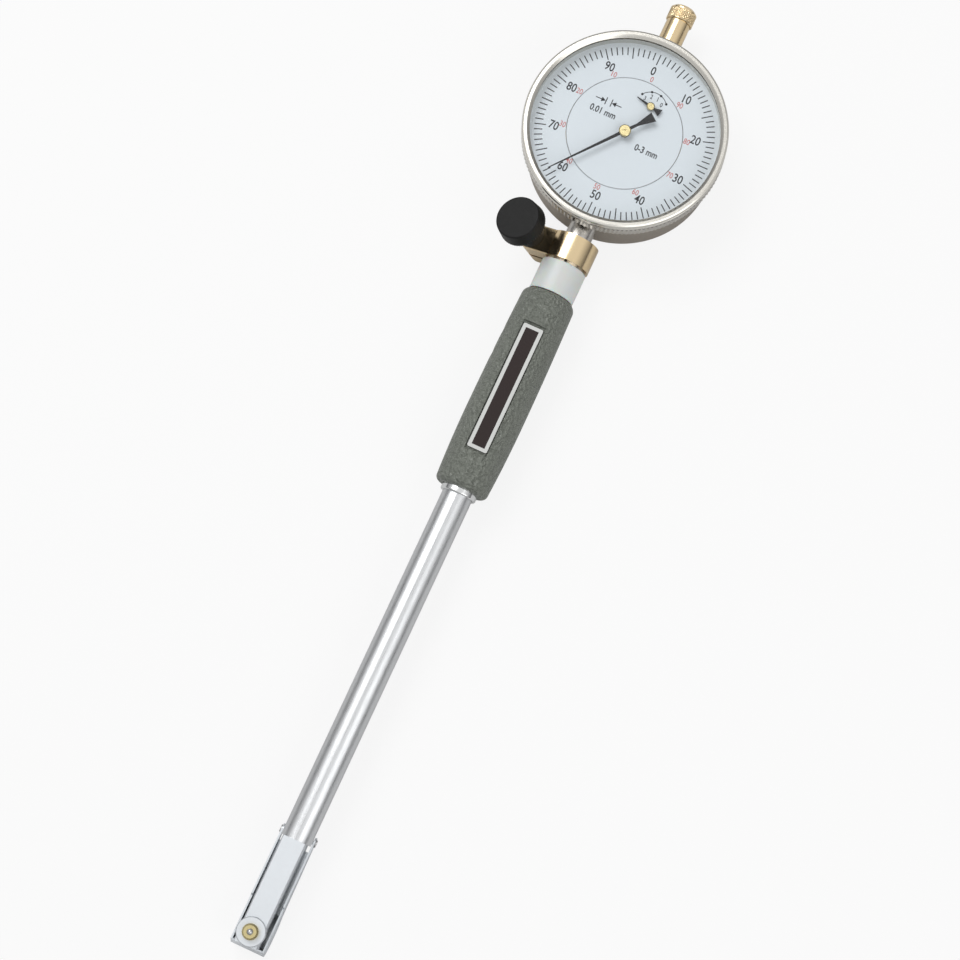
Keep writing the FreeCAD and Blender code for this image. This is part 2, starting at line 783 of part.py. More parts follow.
def make_ferrule():
    """Bright ring that closes the lower end of the grip."""
    ring = tube_along(ferrule_radius, tube_radius, ferrule_end_y, grip_end_y)
    return ring.makeFillet(0.5, [largest(end_edges(ring, ferrule_end_y))])


def make_main_tube():
    """Long tube from the collet to the measuring head."""
    tube = tube_along(tube_radius, tube_bore, tube_end_y, tube_top_y)
    hole = pin_across(bridge_pin_radius, tube_radius + 1, bridge_pin_y,
                      axis_z - bridge_pin_depth)
    return tube.cut(hole)


# --- Push rod and its guides ----------------------------------------------
crank_contact_y = crank_y + crank_nose
upper_guide_y = tube_top_y - guide_length
rod_collar_y = upper_guide_y - rod_spring_length - rod_travel - running_gap
rod_tip_y = crank_contact_y + running_gap
spigot_top_y = tube_end_y + head_spigot


def make_push_rod():
    """Rod that carries the crank's movement up to the indicator."""
    head_low = rod_top_y - rod_head_length
    step = rod_tip_y + rod_tip_length
    collar_low = rod_collar_y - rod_collar_length
    return turned_along([
        (0, rod_tip_y), (rod_tip_radius, rod_tip_y), (rod_tip_radius, step),
        (rod_radius, step + 0.4), (rod_radius, collar_low), (rod_collar_radius, collar_low),
        (rod_collar_radius, rod_collar_y), (rod_radius, rod_collar_y), (rod_radius, head_low),
        (rod_head_radius, head_low), (rod_head_radius, rod_top_y), (0, rod_top_y)])


def make_rod_guide(low):
    """Bush that keeps the rod in the middle of the tube."""
    return tube_along(tube_bore, rod_radius + running_gap, low, low + guide_length)


def make_rod_spring():
    """Coil spring between the upper guide and the rod's collar, as a close sleeve."""
    bore = rod_spring_radius - rod_spring_wire
    return tube_along(rod_spring_radius, bore, upper_guide_y - rod_spring_length, upper_guide_y)


# --- Measuring head -------------------------------------------------------
head_front_z = axis_z + head_front
head_back_z = axis_z - head_back
disc_top_z = head_front_z + disc_thickness
boss_end_z = head_back_z - boss_height
bush_inner_z = crank_z - crank_hub - 0.2
bush_end_z = boss_end_z - bush_flange
plunger_inner_z = crank_z - crank_nose - crank_play
plunger_tip_z = axis_z - plunger_reach
slot_half = crank_thickness / 2 + crank_side_gap


def make_head_block():
    """Square-sided head with its spigot, plunger boss, crank slot and bores."""
    body = block(-head_half_width, head_half_width, head_end_y, tube_end_y,
                 head_back_z, head_front_z)
    long_edges = [e for e in body.Edges if e.BoundBox.YLength > anvil_below_tube]
    body = body.makeChamfer(head_edge, long_edges)
    spigot = rod_along(tube_bore, tube_end_y, spigot_top_y)
    boss = post(boss_radius, boss_end_z, head_back_z, 0, plunger_y)
    head = joined([body, spigot, boss])
    slot_top = axis_z + head_front - anvil_shank_length - 0.5
    slot_upper_y = crank_y + crank_nose + rod_travel + 0.3
    slot = block(-slot_half, slot_half, head_end_y - 1, slot_upper_y, bush_inner_z, slot_top)
    rod_bore = rod_along(rod_radius + 3 * running_gap, slot_upper_y - 0.5, spigot_top_y + 1)
    bush_bore = post(bush_radius, boss_end_z - 1, bush_inner_z, 0, plunger_y)
    anvil_bore = post(anvil_shank, head_front_z - anvil_shank_length, head_front_z + 1,
                      0, anvil_y)
    crank_hole = pin_across(crank_pin_radius, head_half_width + 1, crank_y, crank_z)
    bridge_hole = pin_across(bridge_pin_radius, head_half_width + 1, bridge_pin_y,
                             axis_z - bridge_pin_depth)
    return head.cut([slot, rod_bore, bush_bore, anvil_bore, crank_hole, bridge_hole])


def make_anvil_disc():
    """Round lock washer under the anvil."""
    disc = post(disc_radius, head_front_z, disc_top_z, 0, anvil_y)
    edge = [e for e in disc.Edges if e.BoundBox.ZMin > disc_top_z - 0.01]
    disc = disc.makeChamfer(disc_edge, edge)
    return disc.cut(post(anvil_shank, head_front_z - 1, disc_top_z + 1, 0, anvil_y))


ball_z = disc_top_z + anvil_height + ball_rise - ball_radius


def make_anvil():
    """Interchangeable brass anvil with a seat for its ball."""
    top = disc_top_z + anvil_height
    body = post(anvil_radius, disc_top_z, top, 0, anvil_y)
    body = body.makeChamfer(anvil_chamfer, [e for e in body.Edges if e.BoundBox.ZMin > top - 0.01])
    shank = post(anvil_shank, head_front_z - anvil_shank_length, disc_top_z, 0, anvil_y)
    return joined([body, shank]).cut(make_anvil_ball())


def make_anvil_ball():
    """Hard ball in the tip of the anvil."""
    return Part.makeSphere(ball_radius, Vector(0, anvil_y, ball_z))


def make_plunger_bush():
    """Flanged bush that guides the plunger in the back of the head."""
    body = post(bush_radius, boss_end_z, bush_inner_z, 0, plunger_y)
    flange = post(bush_flange_radius, bush_end_z, boss_end_z, 0, plunger_y)
    bore = post(plunger_radius + running_gap, bush_end_z - 1, bush_inner_z + 1, 0, plunger_y)
    return joined([body, flange]).cut(bore)


def make_plunger():
    """Measuring plunger behind the head."""
    low = plunger_tip_z + plunger_tip_length
    shoulder = bush_inner_z - rod_travel - running_gap
    body = post(plunger_radius, low, shoulder, 0, plunger_y)
    dome_z = plunger_inner_z - plunger_neck
    neck = post(plunger_neck, shoulder, dome_z, 0, plunger_y)
    dome = Part.makeSphere(plunger_neck, Vector(0, plunger_y, dome_z))
    return joined([body, neck, dome])


def make_plunger_tip():
    """Hard rounded tip of the plunger."""
    low = plunger_tip_z + plunger_tip_radius
    ball = Part.makeSphere(plunger_tip_radius, Vector(0, plunger_y, low))
    seat = plunger_tip_z + plunger_tip_length
    neck = post(plunger_tip_radius, low, seat, 0, plunger_y)
    behind = post(plunger_radius, seat, seat + 2 * plunger_tip_radius, 0, plunger_y)
    return joined([ball, neck]).cut(behind)


def crank_limb(end_y, end_z):
    """One arm of the crank, with a round nose."""
    half = crank_thickness / 2
    nose = pin_across(crank_nose, half, end_y, end_z)
    low_y, high_y = sorted((crank_y, end_y))
    low_z, high_z = sorted((crank_z, end_z))
    if high_y - low_y > high_z - low_z:
        arm = block(-half, half, low_y, high_y, crank_z - crank_nose, crank_z + crank_nose)
    else:
        arm = block(-half, half, crank_y - crank_nose, crank_y + crank_nose, low_z, high_z)
    return [nose, arm]


def make_bell_crank():
    """Right-angled crank that turns plunger travel into rod travel."""
    hub = pin_across(crank_hub, crank_thickness / 2, crank_y, crank_z)
    arms = crank_limb(plunger_y, crank_z) + crank_limb(crank_y, crank_z + crank_arm)
    crank = joined([hub] + arms)
    return crank.cut(pin_across(crank_pin_radius + running_gap, crank_thickness, crank_y, crank_z))


def make_crank_pin():
    """Pivot pin of the crank, flush with the sides of the head."""
    return pin_across(crank_pin_radius, head_half_width, crank_y, crank_z)


# --- Centring bridge ------------------------------------------------------
bridge_pin_z = axis_z - bridge_pin_depth


def shoe_arc_middle(apex, end):
    """Middle of an arc that leaves the lowest point level and stops at the end point."""
    dy = end.y - apex.y
    dz = end.z - apex.z
    radius = (dy ** 2 + dz ** 2) / (2 * dz)
    half = math.atan2(abs(dy), radius - dz) / 2
    return Vector(0, apex.y + math.copysign(radius * math.sin(half), dy),
                  apex.z + radius * (1 - math.cos(half)))


def side_outline():
    """Cheek of the bridge seen from the side: ear, straight back, curved shoe."""
    def at(y, depth):
        return Vector(0, y, axis_z - depth)
    ear_top = Vector(0, bridge_pin_y + bridge_ear, bridge_pin_z)
    front_top = at(bridge_pin_y, bridge_pin_depth - bridge_ear)
    step_y = bridge_pin_y - bridge_step_below_pin
    web_y = bridge_pin_y - bridge_web_start
    ear_back = at(bridge_pin_y, bridge_pin_depth + bridge_ear)
    knee = at(anvil_y + bridge_knee_above_anvil, bridge_knee_depth)
    apex = at(anvil_y, case_back_depth)
    tip = at(bridge_tip_y, bridge_tip_depth)
    nose = at(bridge_tip_y + 1.2, bridge_front_low)
    edges = [
        Part.Arc(front_top, ear_top, ear_back).toShape(),
        Part.makeLine(ear_back, at(web_y, bridge_web_depth)),
        Part.makeLine(at(web_y, bridge_web_depth), knee),
        Part.Arc(knee, shoe_arc_middle(apex, knee), apex).toShape(),
        Part.Arc(apex, shoe_arc_middle(apex, tip), tip).toShape(),
        Part.makeLine(tip, nose),
        Part.makeLine(nose, at(step_y, bridge_front_low)),
        Part.makeLine(at(step_y, bridge_front_low), at(step_y + 0.6, bridge_front_top)),
        Part.makeLine(at(step_y + 0.6, bridge_front_top), front_top)]
    return Part.Face(Part.Wire(edges))


def make_centring_bridge():
    """Folded channel around the back of the head, hinged at its ears."""
    outline = side_outline()
    outline.translate(Vector(-bridge_half_width, 0, 0))
    channel = outline.extrude(across * (2 * bridge_half_width))
    inner_half = bridge_half_width - bridge_sheet
    inner = side_outline().makeOffset2D(-bridge_sheet)
    inner.translate(Vector(-inner_half, 0, 0))
    hollow = inner.extrude(across * (2 * inner_half))
    web_y = bridge_pin_y - bridge_web_start
    mouth_z = axis_z - bridge_front_low - 2 * bridge_sheet
    mouth = block(-inner_half, inner_half, bridge_tip_y - 1, bridge_pin_y + 2 * bridge_ear,
                  mouth_z, axis_z)
    throat = block(-inner_half, inner_half, web_y, bridge_pin_y + 2 * bridge_ear,
                   axis_z - 2 * bridge_web_depth, axis_z)
    hole = post(bridge_hole_radius, -1, mouth_z, 0, plunger_y)
    pin_hole = pin_across(bridge_pin_radius + running_gap, bridge_half_width + 1,
                          bridge_pin_y, bridge_pin_z)
    return channel.cut([hollow, mouth, throat, hole, pin_hole])


def make_bridge_pin():
    """Hinge pin of the bridge, headed at both ends."""
    pin = pin_across(bridge_pin_radius, bridge_half_width + running_gap,
                     bridge_pin_y, bridge_pin_z)
    inner = bridge_half_width + running_gap
    heads = [Part.makeCylinder(bridge_pin_head, bridge_pin_head_length,
                               Vector(side * inner, bridge_pin_y, bridge_pin_z), across * side)
             for side in (-1, 1)]
    return joined([pin] + heads)


def make_bridge_leaf():
    """Leaf spring on the back of the head that presses the bridge outwards."""
    start = bridge_pin_y - leaf_start_below_pin
    flat_end = start - leaf_flat
    end = start - leaf_length
    bend = (flat_end + end) / 2

    def at(y, depth):
        return Vector(-leaf_width / 2, y, head_back_z - depth)
    outline = Part.Wire([
        Part.makeLine(at(start, 0), at(flat_end, 0)),
        Part.Arc(at(flat_end, 0), at(bend, leaf_bow * 0.35), at(end, leaf_bow)).toShape(),
        Part.makeLine(at(end, leaf_bow), at(end, leaf_bow + leaf_sheet)),
        Part.Arc(at(end, leaf_bow + leaf_sheet), at(bend, leaf_bow * 0.35 + leaf_sheet),
                 at(flat_end, leaf_sheet)).toShape(),
        Part.makeLine(at(flat_end, leaf_sheet), at(start, leaf_sheet)),
        Part.makeLine(at(start, leaf_sheet), at(start, 0))])
    return Part.Face(outline).extrude(across * leaf_width)


# --- The whole gauge ------------------------------------------------------
parts = {
    "main_tube": make_main_tube(),
    "grip": make_grip(),
    "grip_plate": make_grip_plate(),
    "upper_collar": make_upper_collar(),
    "lower_ferrule": make_ferrule(),
    "stem_collet": make_collet(),
    "stem_clamp": make_stem_clamp(),
    "clamp_knob": make_clamp_knob(),
    "clamp_screw": make_clamp_screw(),
    "head_block": make_head_block(),
    "anvil": make_anvil(),
    "anvil_ball": make_anvil_ball(),
    "anvil_disc": make_anvil_disc(),
    "plunger_bush": make_plunger_bush(),
    "crank_pin": make_crank_pin(),
    "bridge_pin": make_bridge_pin(),
    "bridge_leaf": make_bridge_leaf(),
    "upper_rod_guide": make_rod_guide(upper_guide_y),
    "lower_rod_guide": make_rod_guide(spigot_top_y),
    "rod_spring": make_rod_spring(),
    "push_rod": make_push_rod(),
    "plunger": make_plunger(),
    "plunger_tip": make_plunger_tip(),
    "bell_crank": make_bell_crank(),
    "centring_bridge": make_centring_bridge(),
    "dial_case": make_case(),
    "case_back": make_case_back(),
    "case_back_screws": make_back_screws(),
    "stem": make_stem(),
    "top_sleeve": make_top_sleeve(),
    "dust_cap": make_dust_cap(),
    "bezel": make_bezel(),
    "crystal": make_crystal(),
    "scale_ring": make_scale_ring(),
    "centre_dial": make_centre_dial(),
    "main_pointer": make_main_pointer(),
    "counter_pointer": make_counter_pointer(),
    "centre_pinion": make_centre_pinion(),
    "counter_wheel": make_counter_wheel(),
    "takeup_wheel": make_takeup_wheel(),
    "hairspring": make_hairspring(),
    "centre_cock": make_centre_cock(),
    "movement_plate_front": make_front_plate(),
    "movement_plate_rear": make_rear_plate(),
    "plate_pillars": make_pillars(),
    "spindle": make_spindle(),
    "contact_point": make_contact_point(),
}

os.makedirs("parts", exist_ok=True)
for name, shape in parts.items():
    shape.exportStep("parts/" + name + ".step")
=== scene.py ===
import json
import math

import bmesh
import bpy
from mathutils import Matrix, Vector


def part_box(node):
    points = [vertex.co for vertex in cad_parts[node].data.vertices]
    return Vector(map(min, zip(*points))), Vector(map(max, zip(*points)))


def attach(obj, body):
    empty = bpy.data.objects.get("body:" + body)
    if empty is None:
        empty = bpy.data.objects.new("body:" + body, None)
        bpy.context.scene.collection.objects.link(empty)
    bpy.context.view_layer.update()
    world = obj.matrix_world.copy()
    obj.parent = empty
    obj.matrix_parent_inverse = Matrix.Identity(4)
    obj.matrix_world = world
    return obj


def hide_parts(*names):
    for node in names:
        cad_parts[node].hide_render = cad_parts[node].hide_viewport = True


mm = 0.001
up = Vector((0, 0, 1))

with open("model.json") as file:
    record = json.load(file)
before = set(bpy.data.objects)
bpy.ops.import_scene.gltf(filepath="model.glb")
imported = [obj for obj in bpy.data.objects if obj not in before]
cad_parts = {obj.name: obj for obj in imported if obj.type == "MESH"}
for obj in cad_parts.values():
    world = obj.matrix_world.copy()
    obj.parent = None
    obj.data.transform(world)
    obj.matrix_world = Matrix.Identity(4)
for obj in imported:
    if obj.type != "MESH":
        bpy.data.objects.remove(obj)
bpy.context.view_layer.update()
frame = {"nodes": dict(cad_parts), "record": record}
print("frame loaded:", len(frame["nodes"]), "nodes")


# ---- finishes: every surface has its own grain and a little unevenness
def newFinish(name):
    material = bpy.data.materials.new(name)
    material.use_nodes = True
    nodes = material.node_tree.nodes
    links = material.node_tree.links
    return material, nodes, links, nodes["Principled BSDF"]


def objectCoords(nodes, links, scale):
    coords = nodes.new("ShaderNodeTexCoord")
    mapping = nodes.new("ShaderNodeMapping")
    mapping.inputs["Scale"].default_value = scale
    links.new(coords.outputs["Object"], mapping.inputs["Vector"])
    return mapping.outputs["Vector"]


def noiseOn(nodes, links, vector, scale, detail=4.0, rough=0.55):
    noise = nodes.new("ShaderNodeTexNoise")
    noise.inputs["Scale"].default_value = scale
    noise.inputs["Detail"].default_value = detail
    noise.inputs["Roughness"].default_value = rough
    links.new(vector, noise.inputs["Vector"])
    return noise.outputs["Fac"]


def spread(nodes, links, value, low, high):
    ramp = nodes.new("ShaderNodeMapRange")
    ramp.inputs["From Min"].default_value = 0.3
    ramp.inputs["From Max"].default_value = 0.7
    ramp.inputs["To Min"].default_value = low
    ramp.inputs["To Max"].default_value = high
    links.new(value, ramp.inputs["Value"])
    return ramp.outputs["Result"]


def blotched(nodes, links, value, colour, darker):
    mix = nodes.new("ShaderNodeMix")
    mix.data_type = "RGBA"
    mix.inputs["A"].default_value = (*[c * darker for c in colour], 1)
    mix.inputs["B"].default_value = (*colour, 1)
    links.new(value, mix.inputs["Factor"])
    return mix.outputs["Result"]


def bumped(nodes, links, shader, height, strength, distance):
    bump = nodes.new("ShaderNodeBump")
    bump.inputs["Strength"].default_value = strength
    bump.inputs["Distance"].default_value = distance * mm
    links.new(height, bump.inputs["Height"])
    links.new(bump.outputs["Normal"], shader.inputs["Normal"])


def makeFinish(name, spec):
    material, nodes, links, shader = newFinish(name)
    shader.inputs["Metallic"].default_value = spec.get("metallic", 0.0)
    grain = objectCoords(nodes, links, spec.get("stretch", (1, 1, 1)))
    fine = noiseOn(nodes, links, grain, spec["grain"])
    links.new(spread(nodes, links, fine, *spec["rough"]), shader.inputs["Roughness"])
    plain = objectCoords(nodes, links, (1, 1, 1))
    broad = noiseOn(nodes, links, plain, spec.get("blotch", 90), 3.0)
    links.new(blotched(nodes, links, broad, spec["colour"], spec.get("darker", 0.93)),
              shader.inputs["Base Color"])
    height = fine
    if spec.get("hammered"):      # rounded cells with valleys between them
        cells = nodes.new("ShaderNodeTexVoronoi")
        cells.feature = "SMOOTH_F1"
        cells.inputs["Smoothness"].default_value = 0.35
        cells.inputs["Scale"].default_value = spec["hammered"]
        warp = nodes.new("ShaderNodeVectorMath")
        warp.operation = "MULTIPLY_ADD"
        warp.inputs[1].default_value = (0.0012, 0.0012, 0.0012)
        swirl = nodes.new("ShaderNodeTexNoise")
        swirl.inputs["Scale"].default_value = 600
        links.new(plain, swirl.inputs["Vector"])
        links.new(swirl.outputs["Color"], warp.inputs[0])
        links.new(plain, warp.inputs[2])
        links.new(warp.outputs["Vector"], cells.inputs["Vector"])
        height = cells.outputs["Distance"]
    bumped(nodes, links, shader, height, spec.get("bump", 0.15), spec.get("deep", 0.05))
    if "alpha" in spec:
        shader.inputs["Alpha"].default_value = spec["alpha"]
    if "sheen" in spec:           # how much a dull surface mirrors
        shader.inputs["Specular IOR Level"].default_value = spec["sheen"]
    if "sheer" in spec:           # light that soaks into white plastic
        shader.inputs["Subsurface Weight"].default_value = spec["sheer"]
        shader.inputs["Subsurface Scale"].default_value = 2 * mm
    return material


alongY = (1, 0.04, 1)
finishSpecs = {
    "tube_steel": dict(colour=(0.62, 0.63, 0.64), metallic=1, grain=5200, stretch=alongY,
                       rough=(0.24, 0.42), bump=0.12, deep=0.02),
    "grip_paint": dict(colour=(0.2, 0.215, 0.185), grain=1500, rough=(0.28, 0.5),
                       hammered=950, bump=0.9, deep=0.9, darker=0.82, blotch=300),
    "strip_dark": dict(colour=(0.022, 0.012, 0.011), grain=2600, rough=(0.4, 0.55), sheen=0.25,
                       bump=0.1, deep=0.02, darker=0.8),
    "collar_white": dict(colour=(0.76, 0.79, 0.77), grain=900, rough=(0.28, 0.42), bump=0.08,
                         sheer=0.35, darker=0.96),
    "ferrule_chrome": dict(colour=(0.72, 0.73, 0.73), metallic=1, grain=3000,
                           rough=(0.1, 0.2), bump=0.05, deep=0.02),
    "stem_steel": dict(colour=(0.55, 0.53, 0.5), metallic=1, grain=4200, stretch=alongY,
                       rough=(0.18, 0.34), bump=0.1, deep=0.02),
    "clamp_gold": dict(colour=(0.76, 0.6, 0.37), metallic=1, grain=2600,
                       rough=(0.12, 0.26), bump=0.06, deep=0.02),
    "knob_black": dict(colour=(0.008, 0.008, 0.008), grain=2400, rough=(0.42, 0.62), sheen=0.25,
                       bump=0.2, deep=0.04, darker=0.7),
    "steel_parts": dict(colour=(0.5, 0.5, 0.5), metallic=1, grain=3600, rough=(0.25, 0.42),
                        bump=0.1, deep=0.02),
    "head_satin": dict(colour=(0.7, 0.73, 0.76), metallic=0.85, grain=3400,
                       rough=(0.3, 0.46), bump=0.12, deep=0.02),
    "anvil_brass": dict(colour=(0.62, 0.53, 0.28), metallic=1, grain=3000,
                        rough=(0.2, 0.34), bump=0.08, deep=0.02),
    "case_satin": dict(colour=(0.4, 0.36, 0.31), metallic=0.9, grain=3000,
                       rough=(0.3, 0.46), bump=0.1, deep=0.02),
    "bezel_nickel": dict(colour=(0.66, 0.64, 0.59), metallic=1, grain=2800,
                         rough=(0.14, 0.28), bump=0.06, deep=0.02),
    "crystal_clear": dict(colour=(0.95, 0.97, 1.0), grain=300, rough=(0.02, 0.05),
                          bump=0.01, deep=0.01, alpha=0.02, darker=0.99),
    "dial_white": dict(colour=(0.78, 0.85, 0.9), grain=1600, rough=(0.42, 0.55), bump=0.05,
                       deep=0.01, darker=0.985),
    "pointer_black": dict(colour=(0.01, 0.01, 0.011), grain=2000, rough=(0.32, 0.5), sheen=0.2,
                          bump=0.05, deep=0.01, darker=0.8),
    "movement_brass": dict(colour=(0.6, 0.45, 0.2), metallic=1, grain=2600,
                           rough=(0.2, 0.36), bump=0.08, deep=0.02),
    "print_dark": dict(colour=(0.025, 0.025, 0.03), grain=2000, rough=(0.45, 0.6), bump=0.04, sheen=0.2,
                       deep=0.01, darker=0.85),
    "print_grey": dict(colour=(0.36, 0.37, 0.38), grain=2000, rough=(0.45, 0.6), bump=0.04,
                       deep=0.01, darker=0.9),
    "print_red": dict(colour=(0.62, 0.16, 0.15), grain=2000, rough=(0.45, 0.6), bump=0.04,
                      deep=0.01, darker=0.9),
    "border_white": dict(colour=(0.74, 0.75, 0.73), grain=2200, rough=(0.35, 0.5),
                         bump=0.06, deep=0.01, darker=0.95),
}
finishes = {name: makeFinish(name, spec) for name, spec in finishSpecs.items()}
for subpart in frame["record"]["subparts"]:
    node = frame["nodes"][subpart["node"]]
    node.data.materials.clear()
    node.data.materials.append(finishes[subpart["material_slot"]])
print("finishes:", len(finishes))


# ---- shared ways of making a piece
def makePiece(name, bm, finish, body, hides=()):
    mesh = bpy.data.meshes.new(name)
    bm.to_mesh(mesh)
    bm.free()
    piece = bpy.data.objects.new(name, mesh)
    bpy.context.scene.collection.objects.link(piece)
    mesh.materials.append(finishes[finish])
    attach(piece, body)
    if hides:
        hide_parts(*hides)
    return piece


def spunProfile(profile, axis, steps):
    # profile: (radius, height) pairs, spun round the axis through the origin
    bm = bmesh.new()
    side = Vector((1, 0, 0))
    verts = [bm.verts.new(side * r * mm + axis * h * mm) for r, h in profile]
    edges = [bm.edges.new((a, b)) for a, b in zip(verts, verts[1:])]
    bmesh.ops.spin(bm, geom=verts + edges, cent=(0, 0, 0), axis=axis, dvec=(0, 0, 0),
                   angle=2 * math.pi, steps=steps, use_merge=True, use_duplicate=False)
    bmesh.ops.remove_doubles(bm, verts=bm.verts, dist=1e-7)
    bmesh.ops.recalc_face_normals(bm, faces=bm.faces)
    return bm


bezelLow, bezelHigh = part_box("bezel")
dialCentre = Vector(((bezelLow.x + bezelHigh.x) / 2, (bezelLow.y + bezelHigh.y) / 2, 0))
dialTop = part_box("scale_ring")[1].z


# ---- bezel: turned ring with a straight-knurled band behind its front rings
bezel = dict(bandHeight=3.9, knurls=150, knurlDepth=0.28, opening=27.6, crystal=28.5,
             bore=28.05, wallBore=27.7, edge=29.35)
rear = bezelLow.z / mm
front = bezelHigh.z / mm
bandTop = rear + bezel["bandHeight"]
outer = (bezelHigh.x - bezelLow.x) / 2 / mm
crystalLow, crystalHigh = (corner.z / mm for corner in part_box("crystal"))
bezelProfile = [
    (bezel["bore"], rear), (outer - 0.3, rear), (outer, rear + 0.3), (outer, bandTop - 0.3),
    (outer - 0.3, bandTop), (outer - 0.75, bandTop), (outer - 0.75, bandTop + 0.35),
    (outer - 0.12, bandTop + 0.4), (outer - 0.05, bandTop + 0.6),
    (outer - 0.05, front - 1.75), (outer - 0.35, front - 1.65), (outer - 0.35, front - 1.4),
    (outer - 0.05, front - 1.3), (outer - 0.05, front - 0.6), (outer - 0.25, front - 0.2),
    (bezel["edge"], front), (outer - 1.5, front), (outer - 1.8, front - 0.2),
    (bezel["opening"], crystalHigh + 0.15), (bezel["opening"], crystalHigh),
    (bezel["crystal"], crystalHigh), (bezel["crystal"], crystalLow),
    (bezel["wallBore"], crystalLow), (bezel["wallBore"], dialTop / mm),
    (bezel["bore"], dialTop / mm), (bezel["bore"], rear)]
bezelSteps = bezel["knurls"] * 2
bm = spunProfile(bezelProfile, up, bezelSteps)
for vert in bm.verts:
    radius = math.hypot(vert.co.x, vert.co.y) / mm
    inBand = rear + 0.25 < vert.co.z / mm < bandTop - 0.2 and radius > outer - 0.2
    place = round(math.atan2(vert.co.y, vert.co.x) / (2 * math.pi) * bezelSteps)
    if inBand and place % 2:
        vert.co.xy *= (outer - bezel["knurlDepth"]) / outer
bmesh.ops.translate(bm, verts=bm.verts, vec=dialCentre)
makePiece("bezelRing", bm, "bezel_nickel", "bezel_unit", ("bezel",))
print("bezel: spun and knurled")


# ---- dust cap: diamond knurl round a short turned cap
cap = dict(bore=3.7, wall=1.0, chamfer=0.8, knurls=26, rows=14, depth=0.16, plain=0.35)
capLow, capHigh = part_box("dust_cap")
capRadius = (capHigh.x - capLow.x) / 2 / mm
capLength = (capHigh.y - capLow.y) / mm
capAxis = Vector((0, 1, 0))
bandEnd = capLength - cap["chamfer"] - cap["plain"]
bandRows = [cap["plain"] + (bandEnd - cap["plain"]) * i / cap["rows"]
            for i in range(cap["rows"] + 1)]
capProfile = [(cap["bore"], 0), (capRadius - 0.2, 0), (capRadius, 0.2)]
capProfile += [(capRadius, row) for row in bandRows]
capProfile += [(capRadius, capLength - cap["chamfer"]),
               (capRadius - cap["chamfer"], capLength), (0, capLength)]
inside = capLength - cap["wall"]
capProfile = [(0, inside), (cap["bore"], inside)] + capProfile
bm = spunProfile(capProfile, capAxis, cap["knurls"] * 6)
pitch = 2 * math.pi * capRadius / cap["knurls"]
for vert in bm.verts:
    radius = math.hypot(vert.co.x, vert.co.z) / mm
    row = vert.co.y / mm
    if abs(radius - capRadius) < 0.01 and bandRows[1] - 0.01 < row < bandRows[-2] + 0.01:
        turn = math.atan2(vert.co.z, vert.co.x) * cap["knurls"] / 2
        slide = math.pi * row / pitch
        cut = max(abs(math.cos(turn + slide)), abs(math.cos(turn - slide))) ** 6
        scale = 1 - cap["depth"] * cut / capRadius
        vert.co.x *= scale
        vert.co.z *= scale
capPlace = Vector(((capLow.x + capHigh.x) / 2, capLow.y, (capLow.z + capHigh.z) / 2))
bmesh.ops.translate(bm, verts=bm.verts, vec=capPlace)
makePiece("knurledCap", bm, "clamp_gold", "dust_cap_unit", ("dust_cap",))
print("dust cap: spun and knurled")


# ---- printed marks: thin ink standing on the dial face
ink = 0.03          # mm, how far the ink stands off the face


def addBar(bm, length, width, place, turn):
    # a flat bar: place is its middle, turn is clockwise from the top of the dial
    grown = bmesh.ops.create_cube(bm, size=1)["verts"]
    bmesh.ops.scale(bm, verts=grown, vec=(width * mm, length * mm, ink * mm))
    bmesh.ops.rotate(bm, verts=grown, cent=(0, 0, 0), matrix=Matrix.Rotation(-turn, 3, "Z"))
    bmesh.ops.translate(bm, verts=grown,
                        vec=Vector((place[0] * mm, place[1] * mm, ink * mm / 2)))


def addText(bm, words, height, place, squeeze=0.8, weight=0.045):
    curve = bpy.data.curves.new("ink", "FONT")
    curve.body = words
    curve.size = height * mm / 0.7          # capitals are about 0.7 of the size
    curve.align_x = "CENTER"
    curve.align_y = "CENTER"
    curve.extrude = ink * mm / 2
    curve.offset = weight * mm
    curve.resolution_u = 3
    holder = bpy.data.objects.new("ink", curve)
    bpy.context.scene.collection.objects.link(holder)
    bpy.context.view_layer.update()
    flat = bpy.data.meshes.new_from_object(
        holder.evaluated_get(bpy.context.evaluated_depsgraph_get()))
    flat.transform(Matrix.Diagonal((squeeze, 1, 1, 1)))
    flat.transform(Matrix.Translation((place[0] * mm, place[1] * mm, ink * mm / 2)))
    bm.from_mesh(flat)
    bpy.data.objects.remove(holder)
    bpy.data.curves.remove(curve)
    bpy.data.meshes.remove(flat)


def onCircle(radius, clockwise, centre=(0, 0)):
    return (centre[0] + radius * math.sin(clockwise), centre[1] + radius * math.cos(clockwise))


def finishPrint(name, bm, finish, body):
    bmesh.ops.translate(bm, verts=bm.verts,
                        vec=(dialCentre.x, dialCentre.y, dialTop))
    return makePiece(name, bm, finish, body)


scale = dict(outer=26.3, longTick=3.4, shortTick=2.4, width=0.3, numberRadius=20.7,
             numberHeight=2.6, redRadius=18.2, redHeight=1.7)
bm = bmesh.new()
for i in range(100):
    turn = 2 * math.pi * i / 100
    length = scale["longTick"] if i % 5 == 0 else scale["shortTick"]
    addBar(bm, length, scale["width"], onCircle(scale["outer"] - length / 2, turn), turn)
for i in range(10):
    turn = 2 * math.pi * i / 10
    addText(bm, str(i * 10), scale["numberHeight"], onCircle(scale["numberRadius"], turn))
finishPrint("scaleMarks", bm, "print_dark", "bezel_unit")

bm = bmesh.new()
for i in range(10):
    turn = 2 * math.pi * (10 - i) / 10
    addText(bm, str(i * 10), scale["redHeight"],
            onCircle(scale["redRadius"], turn + math.radians(2)), weight=0.01)
finishPrint("counterNumbers", bm, "print_red", "bezel_unit")
print("outer scale: 100 marks, 20 numbers")

